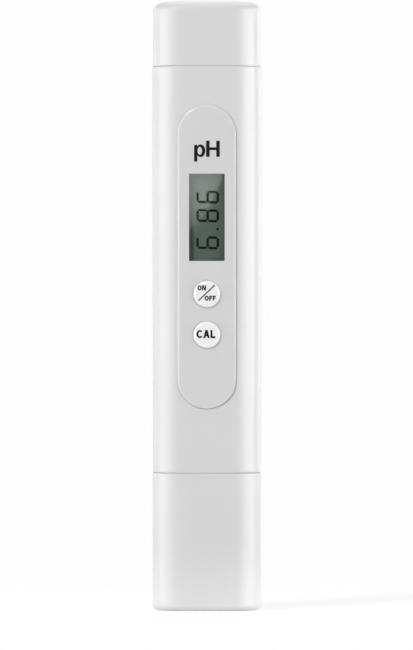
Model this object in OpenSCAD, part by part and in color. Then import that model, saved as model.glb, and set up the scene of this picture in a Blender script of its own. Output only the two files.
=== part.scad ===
// Pen-type pH meter: a rounded rectangular housing with a pill-shaped face panel,
// a push-on battery cap at the top and a push-on protective cap over the probe.
// Millimetres. +Z up the pen, the display faces -Y, and the origin is at the centre
// of the flat foot of the protective cap.

/* [Housing] */
// Width of the pen, side to side
body_w = 30; // [30:0.25:31.5]
// Depth of the housing, front to back
body_t = 19; // [19:0.25:20]
// Length of the main housing, between the two seams
housing_len = 112; // [111.6:0.2:113.6]
// Wall thickness of the moulded shells
wall = 1.6; // [1.5:0.05:1.7]
// Radius of the four long corners
corner_r = 7.5; // [7.2:0.1:7.8]

/* [Caps] */
// Height of the protective cap over the probe
cap_h = 38; // [38:0.5:42]
// Height of the battery cap
batt_cap_h = 18; // [17.6:0.2:20]
// Rounding of the battery cap's top edge
top_round = 2.8; // [2:0.2:3]
// Rounding round the foot of the protective cap
foot_round = 1.6; // [1:0.2:2]

/* [Face] */
// Width of the pill-shaped face panel
panel_w = 16; // [15.6:0.2:16.4]
// Length of the face panel
panel_l = 83.6; // [82.6:0.2:85]
// How far the panel stands proud of the housing
panel_proud = 0.3; // [0.2:0.05:0.4]
// Width of the display window
window_w = 9.8; // [9.4:0.1:10]
// Height of the display window
window_h = 24; // [23:0.5:24.5]
// Diameter of the two push buttons
button_d = 7.5; // [7:0.1:7.6]
// Diameter of the holes that the buttons work in
button_hole_d = 8.1; // [8:0.1:8.3]
// How far the buttons stand proud of the panel
button_proud = 1.1; // [0.8:0.1:1.4]

/* [Probe] */
// Outside diameter of the electrode body
probe_d = 12; // [11.6:0.2:12.2]
// Diameter of the glass bulb
bulb_d = 7.6; // [7:0.1:7.8]
// Diameter of the temperature probe
temp_d = 3; // [2.6:0.1:3.2]

/* [Hidden] */

$fn = 96;
gap = 0.1;                                  // clearance of a glued fit
fit = 0.35;                                 // clearance of a cap on its spigot
seam = 0.1;                                 // gap at a seam between shells
z_h0 = cap_h;                               // foot of the main housing
z_h1 = z_h0 + housing_len;                  // top of the main housing
z_top = z_h1 + batt_cap_h;                  // top of the battery cap
y_front = -body_t / 2;                      // foremost line of the housing
y_face = y_front - panel_proud;             // front of the face panel
y_back = -7.6 - (body_t - 19) / 2;          // back of the face panel, on its ledge
z_panel = z_h0 + 59.4;                      // centre of the face panel
z_window = z_h0 + 70.3;                     // centre of the display window
z_power = z_h0 + 49.2;                      // ON/OFF button
z_cal = z_h0 + 38;                          // CAL button
y_pcb = -3.6;                               // front face of the main board
pcb_t = 1.2;
probe_x = -3;                               // electrode axis
temp_x = 8.5;                               // temperature probe axis
z_cells = z_h1 + 8.95;                      // centre height of the button cells
cell_x = 6.1;                               // half the spacing of the cells
cell_d = 11.6;
cell_h = 5.4;

abs_white = [0.86, 0.86, 0.86];
panel_white = [0.84, 0.84, 0.84];
button_white = [0.96, 0.96, 0.96];
nickel = [0.78, 0.77, 0.74];

// ---- section of the shells -------------------------------------------------
// A rounded rectangle, inset by d from the outside of the housing.
module section(d = 0) {
  w = body_w - 2 * d;
  t = body_t - 2 * d;
  r = corner_r - d;
  union() {
    square([w - 2 * r, t], center = true);
    square([w, t - 2 * r], center = true);
    for (x = [-1, 1], y = [-1, 1]) translate([x * (w / 2 - r), y * (t / 2 - r)]) circle(r = r);
  }
}

module prism(z0, z1, d = 0) translate([0, 0, z0]) linear_extrude(z1 - z0) section(d);

// The part of a disc of radius f that rounds a corner.
module quarter(f) intersection() { circle(r = f); square(f); }

// Rounded rim of radius f from z to z + f, on a section inset by d.
module rim(z, f, d = 0) translate([0, 0, z]) {
  x = body_w / 2 - corner_r;
  y = body_t / 2 - corner_r;
  r = corner_r - d - f;
  union() {
    linear_extrude(f) section(d + f);
    for (q = [[x, y, 0], [-x, y, 90], [-x, -y, 180], [x, -y, 270]])
      translate([q.x, q.y, 0]) rotate([0, 0, q.z]) rotate_extrude(angle = 90) translate([r, 0]) quarter(f);
    for (i = [0, 180]) rotate([0, 0, i]) {
      translate([x + r, -y, 0]) rotate([90, 0, 180]) linear_extrude(2 * y) mirror([1, 0]) quarter(f);
      translate([-x, y + r, 0]) rotate([90, 0, 90]) linear_extrude(2 * x) quarter(f);
    }
  }
}

// ---- helpers ---------------------------------------------------------------
// A flat shape drawn in X and Z, thick from y0 back to y1.
module slab(y0, y1) translate([0, y1, 0]) rotate([90, 0, 0]) linear_extrude(y1 - y0) children();
module pill(w, l) union() {
  square([w, l - w], center = true);
  for (s = [-1, 1]) translate([0, s * (l - w) / 2]) circle(d = w);
}
module box(x0, x1, y0, y1, z0, z1) translate([x0, y0, z0]) cube([x1 - x0, y1 - y0, z1 - z0]);
// A cylinder along Y from y0 to y1.
module rod_y(x, z, d, y0, y1) translate([x, y1, z]) rotate([90, 0, 0]) cylinder(d = d, h = y1 - y0);
module rod_z(x, y, d, z0, z1) translate([x, y, z0]) cylinder(d = d, h = z1 - z0);
module tube_z(x, y, d, bore, z0, z1) difference() {
  rod_z(x, y, d, z0, z1);
  rod_z(x, y, bore, z0 - 1, z1 + 1);
}
// A lead that rises from z0, steps forward by two quarter bends at zb and rises on to z1.
module lead(x, d, y1, z0, zb, z1) {
  r = -y1 / 2;
  union() {
    rod_z(x, 0, d, z0, zb);
    translate([x, -r, zb]) rotate([90, 0, 90]) rotate_extrude(angle = 90) translate([r, 0]) circle(d = d);
    translate([x, -r, zb + 2 * r]) rotate([90, 0, 90]) rotate([0, 0, 180]) rotate_extrude(angle = 90) translate([r, 0]) circle(d = d);
    rod_z(x, y1, d, zb + 2 * r, z1);
  }
}

// ---- shells ----------------------------------------------------------------
module main_housing() color(abs_white) difference() {
  union() {
    difference() {
      union() {
        prism(z_h0 + 0.3, z_h1 - 0.3);
        prism(z_h0, z_h0 + 0.3, 0.25);
        prism(z_h1 - 0.3, z_h1, 0.25);
      }
      prism(z_h0 - 1, z_h1 + 1, wall);
    }
    // ledge that the face panel sits on
    translate([0, 0, z_panel]) slab(y_back - 0.6, y_back + 1.3) pill(panel_w + 4.2, panel_l + 4.2);
  }
  translate([0, 0, z_panel]) slab(y_front - 2, y_back) pill(panel_w + 0.2, panel_l + 0.2);
  translate([0, 0, z_panel]) slab(y_front - 2, y_back + 3) pill(panel_w - 2.8, panel_l - 2.8);
}

module face_panel() color(panel_white) difference() {
  e = 0.35;
  translate([0, 0, z_panel]) union() {
    slab(y_face + e, y_back) pill(panel_w, panel_l);
    slab(y_face, y_face + e) pill(panel_w - 2 * e, panel_l - 2 * e);
    // rounded front edge
    for (s = [-1, 1]) {
      translate([0, y_face + e, s * (panel_l - panel_w) / 2]) rotate([90, 0, 0]) rotate([0, 0, s > 0 ? 0 : 180])
        rotate_extrude(angle = 180) translate([panel_w / 2 - e, 0]) quarter(e);
      translate([0, y_face + e, -(panel_l - panel_w) / 2]) scale([s, 1, 1]) translate([panel_w / 2 - e, 0, 0])
        linear_extrude(panel_l - panel_w) scale([1, -1]) quarter(e);
    }
  }
  translate([0, 0, z_window]) {
    slab(y_face - 1, y_back + 1) square([window_w, window_h], center = true);
    slab(y_face + 0.5, y_back + 1) square([window_w + 1.8, window_h + 1.8], center = true);
    slab(y_back - 0.5, y_back + 1) square([window_w + 3, window_h + 6.4], center = true);
  }
  for (z = [z_power, z_cal]) rod_y(0, z, button_hole_d, y_face - 1, y_back + 1);
}

module display_window() color([0.85, 0.9, 0.88, 0.35])
  translate([0, 0, z_window]) slab(y_face + 0.5, y_face + 1.6) square([window_w + 1.6, window_h + 1.6], center = true);

// A push button: crowned cap, retaining flange and the post that bears on its switch.
module button(z) color(button_white) translate([0, 0, z]) rotate([90, 0, 0]) union() {
  r = 0.7;
  top = -(y_face - button_proud);
  cylinder(d = button_d, h = top - r);
  cylinder(d = button_d - 2 * r, h = top);
  translate([0, 0, top - r]) rotate_extrude() translate([button_d / 2 - r, 0]) quarter(r);
}
module button_body(z) difference() {
  union() {
    button(z);
    color(button_white) rod_y(0, z, button_hole_d + 1.2, y_back + 0.1, y_back + 0.7);
    color(button_white) rod_y(0, z, 3, y_back + 0.5, y_pcb - 3);
  }
  color(button_white) difference() {
    rod_y(0, z, 20, y_back + 0.7, 5);
    rod_y(0, z, 3, y_back + 0.7, y_pcb - 3);
  }
}
module power_button() button_body(z_power);
module cal_button() button_body(z_cal);

module battery_cap() color(abs_white) difference() {
  union() {
    prism(z_h1 + seam, z_h1 + seam + 0.3, 0.45);
    prism(z_h1 + seam + 0.3, z_top - top_round, 0.2);
    rim(z_top - top_round, top_round, 0.2);
  }
  prism(z_h1 - 1, z_top - 1.8, wall);
}

module protective_cap() color(abs_white) difference() {
  union() {
    translate([0, 0, foot_round]) mirror([0, 0, 1]) rim(0, foot_round);
    prism(foot_round, cap_h - seam - 0.3);
    prism(cap_h - seam - 0.3, cap_h - seam, 0.25);
  }
  prism(2, cap_h + 1, wall);
}

module cap_sponge() color([0.93, 0.86, 0.55]) prism(2, 6, wall + 0.3);

// A flat rubber ring round a section, and the groove that holds it.
module seal_ring(z0, z1) difference() {
  prism(z0, z1, wall + 0.15);
  prism(z0 - 1, z1 + 1, wall + fit + 0.8);
}
module seal_groove(z0, z1) difference() {
  prism(z0, z1, -1);
  prism(z0 - 1, z1 + 1, wall + fit + 0.8);
}
module battery_cap_seal() color([0.12, 0.12, 0.12]) seal_ring(z_h1 + 0.65, z_h1 + 1.65);
module collar_seal() color([0.12, 0.12, 0.12]) seal_ring(cap_h - 7.65, cap_h - 6.35);

// ---- battery end -----------------------------------------------------------
module battery_holder() color([0.9, 0.9, 0.88]) difference() {
  union() {
    difference() {
      union() {
        prism(z_h1 - 7.4, z_h1, wall + gap);
        prism(z_h1 - 1, z_h1 + 2.7, wall + fit);
      }
      prism(z_h1 - 8, z_h1 - 2.9, wall + gap + 1.3);
    }
    box(-12.4, 12.4, -3, 4.4, z_h1 + 2, z_h1 + 15.2);
  }
  seal_groove(z_h1 + 0.6, z_h1 + 1.7);
  for (s = [-1, 1]) {
    rod_y(s * cell_x, z_cells, cell_d + 0.3, -4, 2.9);
    // slots for the contact strips
    box(s * cell_x - 1.15, s * cell_x + 1.15, y_pcb - 0.35, y_pcb + 0.1, z_h1 - 4, z_h1 + 4);
  }
  // slot for the link behind the cells
  box(-8.8, 8.8, 1, 2.9, z_cells - 1.7, z_cells + 1.7);
  // thumb notch between the cells
  rod_y(0, z_h1 + 15.2, 7, -4, 2.9);
}

// A button cell: can, insulating ring and inner cap. sgn = 1 puts the can's face at the back.
module cell(x, sgn) translate([x, -0.1, z_cells]) rotate([90 * sgn, 0, 0]) union() {
  color(nickel) translate([0, 0, -cell_h / 2]) cylinder(d = cell_d, h = 4.3);
  color([0.2, 0.2, 0.2]) translate([0, 0, -cell_h / 2 + 4.3]) cylinder(d = 10.3, h = 0.25);
  color(nickel) translate([0, 0, -cell_h / 2]) cylinder(d = 9.6, h = cell_h);
}
module left_cell() cell(-cell_x, 1);
module right_cell() cell(cell_x, -1);

module contact(x) color(nickel) union() {
  box(x - 1, x + 1, y_pcb - 0.25, y_pcb, z_h1 - 16, z_cells + 1.6);
  translate([x, y_pcb, z_cells]) rotate([0, 90, 0]) cylinder(r = 0.8, h = 2, center = true);
}
module negative_contact() contact(-cell_x);
module positive_contact() contact(cell_x);
module series_link() color(nickel) union() {
  box(-8.4, 8.4, 2.7, 2.9, z_cells - 1.6, z_cells + 1.6);
  for (s = [-1, 1]) rod_y(s * cell_x, z_cells, 3.6, 2.6, 2.8);
}

// ---- probe end -------------------------------------------------------------
module probe_collar() color(abs_white) difference() {
  union() {
    prism(cap_h - 10, cap_h + 1, wall + fit);
    prism(cap_h, cap_h + 11, wall + gap);
  }
  prism(cap_h - 5, cap_h + 12, wall + gap + 1.5);
  seal_groove(cap_h - 7.7, cap_h - 6.3);
  rod_z(probe_x, 0, probe_d + 0.1, 0, cap_h);
  rod_z(probe_x, 0, probe_d + 2.7, 0, cap_h - 8.4);
  rod_z(temp_x, 0, temp_d + 0.1, 0, cap_h);
}

module electrode_body() color([0.16, 0.17, 0.2]) difference() {
  union() {
    rod_z(probe_x, 0, probe_d, cap_h - 27, cap_h + 7);
    // flange with two flats, resting on the collar's floor
    intersection() {
      rod_z(probe_x, 0, probe_d + 3, cap_h - 5, cap_h - 3);
      box(-20, 20, -6.1, 6.1, cap_h - 6, cap_h);
    }
  }
  rod_z(probe_x, 0, probe_d - 2.4, 0, cap_h + 8);
  // four slots that let the sample reach the bulb
  for (a = [45, 135]) translate([probe_x, 0, 0]) rotate([0, 0, a]) union() {
    translate([-10, -2.3, 0]) cube([20, 4.6, cap_h - 19.3]);
    translate([-10, 0, cap_h - 19.3]) rotate([0, 90, 0]) cylinder(r = 2.3, h = 20, $fn = 48);
  }
}
module electrode_o_ring() color([0.12, 0.12, 0.12]) translate([probe_x, 0, cap_h - 9.2])
  rotate_extrude() translate([probe_d / 2 + 0.66, 0]) circle(r = 0.6, $fn = 32);

z_bulb = cap_h - 21.8;
module glass_electrode() color([0.85, 0.93, 0.95, 0.35]) difference() {
  union() {
    rod_z(probe_x, 0, 6, z_bulb, cap_h + 6);
    translate([probe_x, 0, z_bulb]) sphere(d = bulb_d);
  }
  rod_z(probe_x, 0, 4.8, z_bulb, cap_h + 7);
  translate([probe_x, 0, z_bulb]) sphere(d = bulb_d - 0.9);
}
module silver_wire() color([0.75, 0.75, 0.77]) union() {
  rod_z(probe_x, 0, 0.5, z_bulb - 1, cap_h + 8.5);
  color([0.3, 0.27, 0.3]) rod_z(probe_x, 0, 0.9, z_bulb - 1.4, z_bulb + 4);
}
module reference_wire() color([0.75, 0.75, 0.77]) rod_z(probe_x - 3.9, 0, 0.5, cap_h - 10, cap_h + 8.5);
module junction_plug() color([0.85, 0.85, 0.82]) difference() {
  tube_z(probe_x, 0, probe_d - 2.5, 6.1, cap_h - 17.5, cap_h - 13.5);
  rod_z(probe_x + 3.9, 0, 1.3, 0, cap_h);
}
module ceramic_junction() color([0.97, 0.97, 0.95]) rod_z(probe_x + 3.9, 0, 1.2, cap_h - 18, cap_h - 13);
module electrode_top_plug() color([0.2, 0.2, 0.22]) difference() {
  tube_z(probe_x, 0, probe_d - 2.5, 6.1, cap_h + 3, cap_h + 7);
  rod_z(probe_x - 3.9, 0, 0.6, 0, cap_h + 10);
}
module temperature_probe() color([0.8, 0.8, 0.82]) difference() {
  union() {
    rod_z(temp_x, 0, temp_d, cap_h - 22, cap_h + 4);
    translate([temp_x, 0, cap_h - 22]) sphere(d = temp_d);
    rod_z(temp_x, 0, temp_d + 1.6, cap_h - 5, cap_h - 4);
  }
  rod_z(temp_x, 0, temp_d - 0.6, cap_h - 22, cap_h + 5);
}
module thermistor_bead() color([0.15, 0.15, 0.15]) translate([temp_x, 0, cap_h - 20.4]) sphere(d = 1.7);

// ---- electronics -----------------------------------------------------------
z_b0 = z_h0 + 9;                            // foot of the main board
z_b1 = z_h1 - 10;                           // top of the main board
screw_xz = [[-9.2, z_h0 + 24], [9.2, z_h0 + 24], [-9.2, z_b1 - 4], [9.2, z_b1 - 4]];

module main_board() color([0.1, 0.36, 0.2]) difference() {
  box(-11, 11, y_pcb, y_pcb + pcb_t, z_b0 + 2.5, z_b1);
  for (p = screw_xz) rod_y(p.x, p.y, 2.2, y_pcb - 1, y_pcb + 3);
}

module pcb_carrier() color([0.85, 0.85, 0.83]) difference() {
  union() {
    box(-12.4, 12.4, 3.4, 4.6, z_b0 + 2.5, z_b1);
    for (s = [-1, 1]) box(s * 11.8 - 0.6, s * 11.8 + 0.6, -3.4, 4, z_b0 + 2.5, z_b1);
    for (p = screw_xz) rod_y(p.x, p.y, 4.2, y_pcb + pcb_t, 4);
    for (i = [0 : 4]) box(-8.6, 8.6, 4, 7.6, z_b0 + 6 + 20 * i, z_b0 + 7.4 + 20 * i);
  }
  for (p = screw_xz) rod_y(p.x, p.y, 2.06, y_pcb, 3);
  // windows that lighten the back plate
  for (i = [0 : 3]) box(-6.6, 6.6, 3, 9, z_b0 + 10.6 + 20 * i, z_b0 + 22.8 + 20 * i);
}

module pcb_screws() color([0.7, 0.7, 0.72]) for (p = screw_xz) difference() {
  union() {
    rod_y(p.x, p.y, 2, y_pcb - 0.2, 3);
    rod_y(p.x, p.y, 3.6, y_pcb - 1.2, y_pcb);
  }
  for (a = [0, 90]) translate([p.x, y_pcb - 1.2, p.y]) rotate([0, a, 0]) cube([2.4, 1.2, 0.5], center = true);
}

module lcd_holder() color([0.92, 0.92, 0.9]) difference() {
  translate([0, 0, z_window]) slab(-6.2, y_pcb) square([15.6, 33], center = true);
  box(-4.4, 4.4, -7, 0, z_window - 12.5, z_window + 12.5);
  box(4.7, 6.1, -7, 0, z_window - 13.6, z_window + 13.6);
}
module lcd_front_glass() color([0.75, 0.8, 0.76, 0.35]) box(-6.2, 6.2, -7.8, -7.1, z_window - 14.5, z_window + 14.5);
module lcd_rear_glass() color([0.6, 0.66, 0.6, 0.35]) box(-6.2, 4.6, -7.1, -6.4, z_window - 14.5, z_window + 14.5);
module lcd_front_polariser() color([0.7, 0.76, 0.7, 0.35]) box(-5.7, 5.7, -8, -7.8, z_window - 12.8, z_window + 12.8);
module lcd_reflector() color([0.44, 0.5, 0.45]) box(-6, 4.5, -6.4, -6.2, z_window - 12.8, z_window + 12.8);
module lcd_contact_strip() color([0.25, 0.25, 0.25]) box(4.8, 6, -7.1, y_pcb, z_window - 13.5, z_window + 13.5);

module tact_switch(z) union() {
  color([0.15, 0.15, 0.15]) difference() {
    box(-3, 3, y_pcb - 2.1, y_pcb, z - 3, z + 3);
    rod_y(0, z, 3.7, y_pcb - 3, y_pcb - 0.5);
  }
  color(nickel) for (s = [-1, 1], t = [-1, 1]) box(s * 3.6 - 0.6, s * 3.6 + 0.6, y_pcb - 0.3, y_pcb, z + t * 2.25 - 0.35, z + t * 2.25 + 0.35);
}
module power_switch() tact_switch(z_power);
module cal_switch() tact_switch(z_cal);
module power_plunger() color([0.2, 0.2, 0.2]) rod_y(0, z_power, 3.5, y_pcb - 3, y_pcb - 1.1);
module cal_plunger() color([0.2, 0.2, 0.2]) rod_y(0, z_cal, 3.5, y_pcb - 3, y_pcb - 1.1);

y_r = y_pcb + pcb_t;                        // rear face of the main board
module controller_chip() translate([0, y_r, z_window]) union() {
  color([0.1, 0.1, 0.1]) box(-5, 5, 0.15, 1.5, -5, 5);
  color(nickel) for (i = [0 : 10]) union() {
    box(-6, -4.9, 0, 0.6, -4.15 + 0.8 * i, -3.85 + 0.8 * i);
    box(4.9, 6, 0, 0.6, -4.15 + 0.8 * i, -3.85 + 0.8 * i);
    box(-4.15 + 0.8 * i, -3.85 + 0.8 * i, 0, 0.6, -6, -4.9);
    box(-4.15 + 0.8 * i, -3.85 + 0.8 * i, 0, 0.6, 4.9, 6);
  }
}
module amplifier_chip() translate([2, y_r, z_h0 + 30]) union() {
  color([0.1, 0.1, 0.1]) box(-2, 2, 0.15, 1.6, -2.45, 2.45);
  color(nickel) for (i = [0 : 3], s = [-1, 1]) box(s * 2.45 - 0.6, s * 2.45 + 0.6, 0, 0.5, -2.1 + 1.27 * i, -1.7 + 1.27 * i);
}
module crystal() color(nickel) union() {
  translate([7.6, y_r + 1, z_window + 9]) cylinder(d = 2, h = 6);
  for (s = [-1, 1]) box(7.6 + s * 0.5 - 0.15, 7.6 + s * 0.5 + 0.15, y_r, y_r + 1.15, z_window + 7.4, z_window + 9.1);
}
res_xz = [[-6, 28], [-3.4, 28], [-6, 33], [-3.4, 33], [6.4, 26], [6.4, 30], [6.4, 34], [-7, 62], [-7, 67], [8, 62], [8, 58]];
cap_xz = [[-0.4, 36], [2.4, 36], [-6, 38], [-7, 80], [7.4, 71], [-7, 73], [0, 86]];
module chip_part(x, z) union() {
  color([0.15, 0.15, 0.15]) box(x - 0.4, x + 0.4, y_r, y_r + 0.55, z - 0.7, z + 0.7);
  color(nickel) for (s = [-1, 1]) box(x - 0.42, x + 0.42, y_r, y_r + 0.6, z + s * 0.85 - 0.2, z + s * 0.85 + 0.2);
}
module chip_resistors() for (p = res_xz) chip_part(p.x, z_h0 + p.y);
module chip_capacitors() color([0.75, 0.6, 0.42]) for (p = cap_xz) box(p.x - 0.8, p.x + 0.8, y_r, y_r + 1.1, z_h0 + p.y - 1.4, z_h0 + p.y + 1.4);

// Leads from the probe to the back of the main board.
module signal_lead() color([0.9, 0.9, 0.9]) lead(probe_x, 1.3, y_r + 0.7, cap_h + 8.6, cap_h + 11, cap_h + 17);
module reference_lead() color([0.1, 0.2, 0.6]) lead(probe_x - 3.9, 1, y_r + 0.5, cap_h + 8.6, cap_h + 11, cap_h + 17);
module thermistor_leads() color([0.8, 0.1, 0.1]) for (s = [-1, 1])
  lead(temp_x + s * 0.5, 0.7, y_r + 0.4, cap_h - 18, cap_h + 10.6, cap_h + 17);

main_housing();
face_panel();
display_window();
power_button();
cal_button();
battery_cap();
battery_cap_seal();
battery_holder();
left_cell();
right_cell();
negative_contact();
positive_contact();
series_link();
protective_cap();
cap_sponge();
probe_collar();
collar_seal();
electrode_body();
electrode_o_ring();
glass_electrode();
silver_wire();
reference_wire();
junction_plug();
ceramic_junction();
electrode_top_plug();
temperature_probe();
thermistor_bead();
pcb_carrier();
main_board();
pcb_screws();
lcd_holder();
lcd_front_glass();
lcd_rear_glass();
lcd_front_polariser();
lcd_reflector();
lcd_contact_strip();
power_switch();
cal_switch();
power_plunger();
cal_plunger();
controller_chip();
amplifier_chip();
crystal();
chip_resistors();
chip_capacitors();
signal_lead();
reference_lead();
thermistor_leads();
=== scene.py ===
import math
import bpy
import bmesh
import numpy as np
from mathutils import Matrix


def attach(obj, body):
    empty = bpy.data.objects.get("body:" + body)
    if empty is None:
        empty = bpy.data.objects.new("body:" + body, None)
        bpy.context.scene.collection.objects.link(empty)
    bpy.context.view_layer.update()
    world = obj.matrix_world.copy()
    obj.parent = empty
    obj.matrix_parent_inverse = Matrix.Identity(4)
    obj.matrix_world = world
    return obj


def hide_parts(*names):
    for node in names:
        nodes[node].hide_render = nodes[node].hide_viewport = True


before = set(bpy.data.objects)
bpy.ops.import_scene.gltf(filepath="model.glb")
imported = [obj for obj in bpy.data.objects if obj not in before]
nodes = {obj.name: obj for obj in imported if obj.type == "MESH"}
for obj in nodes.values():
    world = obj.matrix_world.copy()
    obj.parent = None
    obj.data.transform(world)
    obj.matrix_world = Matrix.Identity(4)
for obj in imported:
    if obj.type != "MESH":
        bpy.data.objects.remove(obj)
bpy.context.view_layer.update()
MM = 0.001

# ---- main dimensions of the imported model, in millimetres ---------------------
HALF_W, HALF_T = 15.0, 9.5
Z_H0, Z_H1, Z_TOP = 38.0, 150.0, 168.0
Z_PANEL, Z_WINDOW, Z_POWER, Z_CAL = 97.4, 108.3, 87.2, 76.0
Y_FACE, Y_BACK = -9.8, -7.6


# ==== small mesh kit ==========================================================
class Build:
    """Patches of vertices and faces in millimetres, welded into one mesh at the end."""

    def __init__(self):
        self.v, self.f = [], []

    def grid(self, rows, closed=False):
        """rows: equal lists of points. Faces between neighbours; closed joins each row's ends."""
        base = len(self.v)
        n = len(rows[0])
        for r in rows:
            self.v.extend(tuple(map(float, p)) for p in r)
        last = n if closed else n - 1
        for i in range(len(rows) - 1):
            for j in range(last):
                k = (j + 1) % n
                self.f.append((base + i * n + j, base + i * n + k, base + (i + 1) * n + k, base + (i + 1) * n + j))

    def fan(self, ring, centre):
        base = len(self.v)
        self.v.extend(tuple(map(float, p)) for p in ring)
        self.v.append(tuple(map(float, centre)))
        n = len(ring)
        for j in range(n):
            self.f.append((base + j, base + (j + 1) % n, base + n))

    def fill(self, loops):
        """A flat face bounded by the first loop, with the other loops as holes."""
        b = bmesh.new()
        for lp in loops:
            vs = [b.verts.new(p) for p in lp]
            for i in range(len(vs)):
                b.edges.new((vs[i], vs[(i + 1) % len(vs)]))
        bmesh.ops.triangle_fill(b, use_beauty=True, use_dissolve=False, edges=b.edges[:])
        b.verts.index_update()
        base = len(self.v)
        self.v.extend(tuple(v.co) for v in b.verts)
        self.f.extend(tuple(base + v.index for v in f.verts) for f in b.faces)
        b.free()

    def object(self, name, mat, smooth=True, sharp=None, weld=2e-3):
        me = bpy.data.meshes.new(name)
        me.from_pydata([(x * MM, y * MM, z * MM) for x, y, z in self.v], [], self.f)
        b = bmesh.new()
        b.from_mesh(me)
        bmesh.ops.remove_doubles(b, verts=b.verts[:], dist=weld * MM)
        bmesh.ops.dissolve_degenerate(b, dist=1e-7, edges=b.edges[:])
        bmesh.ops.recalc_face_normals(b, faces=b.faces[:])
        open_edges = sum(1 for e in b.edges if len(e.link_faces) != 2)
        if open_edges:
            print("OPEN", name, open_edges)
        for f in b.faces:
            f.smooth = smooth
        b.to_mesh(me)
        b.free()
        if sharp is not None:
            me.set_sharp_from_angle(angle=math.radians(sharp))
        o = bpy.data.objects.new(name, me)
        bpy.context.scene.collection.objects.link(o)
        o.data.materials.append(mat)
        return o


def lathe(build, profile, centre, axis="y", n=64, phase=0.0):
    """Revolves (radius, along) pairs round an axis through centre. A radius of 0 ends in a point."""
    rows = []
    for r, a in profile:
        if r < 1e-6:
            rows.append(None if not rows else ("p", a))
            if rows[-1] is None:
                rows[-1] = ("p", a)
            continue
        rows.append([(r * math.cos(phase + 2 * math.pi * i / n), r * math.sin(phase + 2 * math.pi * i / n), a) for i in range(n)])

    def place(p):
        x, y, a = p
        if axis == "y":
            return (centre[0] + x, centre[1] + a, centre[2] + y)
        return (centre[0] + x, centre[1] + y, centre[2] + a)

    for r0, r1 in zip(rows, rows[1:]):
        if isinstance(r0, tuple) and isinstance(r1, tuple):
            continue
        if isinstance(r0, tuple):
            build.fan([place(p) for p in r1], place((0, 0, r0[1])))
        elif isinstance(r1, tuple):
            build.fan([place(p) for p in r0], place((0, 0, r1[1])))
        else:
            build.grid([[place(p) for p in r0], [place(p) for p in r1]], closed=True)


def ease(t):
    t = min(max(t, 0.0), 1.0)
    return t * t * (3 - 2 * t)


# ==== materials ===============================================================
def material(name):
    m = bpy.data.materials.new(name)
    m.use_nodes = True
    nt = m.node_tree
    nt.nodes.clear()
    out = nt.nodes.new("ShaderNodeOutputMaterial")
    p = nt.nodes.new("ShaderNodeBsdfPrincipled")
    nt.links.new(p.outputs[0], out.inputs[0])
    return m, nt, p, out


def coords(nt, scale=(1, 1, 1)):
    tc = nt.nodes.new("ShaderNodeTexCoord")
    mp = nt.nodes.new("ShaderNodeMapping")
    mp.inputs["Scale"].default_value = scale
    nt.links.new(tc.outputs["Object"], mp.inputs["Vector"])
    return mp.outputs["Vector"]


def noise(nt, vec, scale, detail=3.0, rough=0.55, distortion=0.0):
    n = nt.nodes.new("ShaderNodeTexNoise")
    n.inputs["Scale"].default_value = scale
    n.inputs["Detail"].default_value = detail
    n.inputs["Roughness"].default_value = rough
    n.inputs["Distortion"].default_value = distortion
    nt.links.new(vec, n.inputs["Vector"])
    return n.outputs["Fac"]


def voronoi(nt, vec, scale, feature="F1", out="Distance"):
    n = nt.nodes.new("ShaderNodeTexVoronoi")
    n.feature = feature
    n.inputs["Scale"].default_value = scale
    nt.links.new(vec, n.inputs["Vector"])
    return n.outputs[out]


def ramp(nt, fac, stops):
    n = nt.nodes.new("ShaderNodeValToRGB")
    e = n.color_ramp.elements
    while len(e) < len(stops):
        e.new(0.5)
    for i, (p, c) in enumerate(stops):
        e[i].position = p
        e[i].color = (*c, 1)
    nt.links.new(fac, n.inputs["Fac"])
    return n.outputs["Color"]


def span(nt, fac, a, b, lo=0.3, hi=0.7):
    n = nt.nodes.new("ShaderNodeMapRange")
    n.inputs["From Min"].default_value = lo
    n.inputs["From Max"].default_value = hi
    n.inputs["To Min"].default_value = a
    n.inputs["To Max"].default_value = b
    nt.links.new(fac, n.inputs["Value"])
    return n.outputs["Result"]


def math_node(nt, op, a, b=None, c=None, clamp=False):
    n = nt.nodes.new("ShaderNodeMath")
    n.operation = op
    n.use_clamp = clamp
    for i, v in enumerate((a, b, c)):
        if v is None:
            continue
        if isinstance(v, (int, float)):
            n.inputs[i].default_value = v
        else:
            nt.links.new(v, n.inputs[i])
    return n.outputs[0]


def mix_colour(nt, fac, a, b):
    n = nt.nodes.new("ShaderNodeMix")
    n.data_type = "RGBA"
    for sock, v in ((n.inputs[0], fac), (n.inputs[6], a), (n.inputs[7], b)):
        if isinstance(v, (int, float)):
            sock.default_value = v
        elif isinstance(v, tuple):
            sock.default_value = (*v, 1)
        else:
            nt.links.new(v, sock)
    return n.outputs[2]


def bump(nt, p, height, strength, distance):
    n = nt.nodes.new("ShaderNodeBump")
    n.inputs["Strength"].default_value = strength
    n.inputs["Distance"].default_value = distance
    nt.links.new(height, n.inputs["Height"])
    nt.links.new(n.outputs["Normal"], p.inputs["Normal"])
    return n


def axes(nt):
    tc = nt.nodes.new("ShaderNodeTexCoord")
    s = nt.nodes.new("ShaderNodeSeparateXYZ")
    nt.links.new(tc.outputs["Object"], s.inputs[0])
    return s.outputs[0], s.outputs[1], s.outputs[2]


def tint(c, k):
    return tuple(min(1.0, x * k) for x in c)


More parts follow.
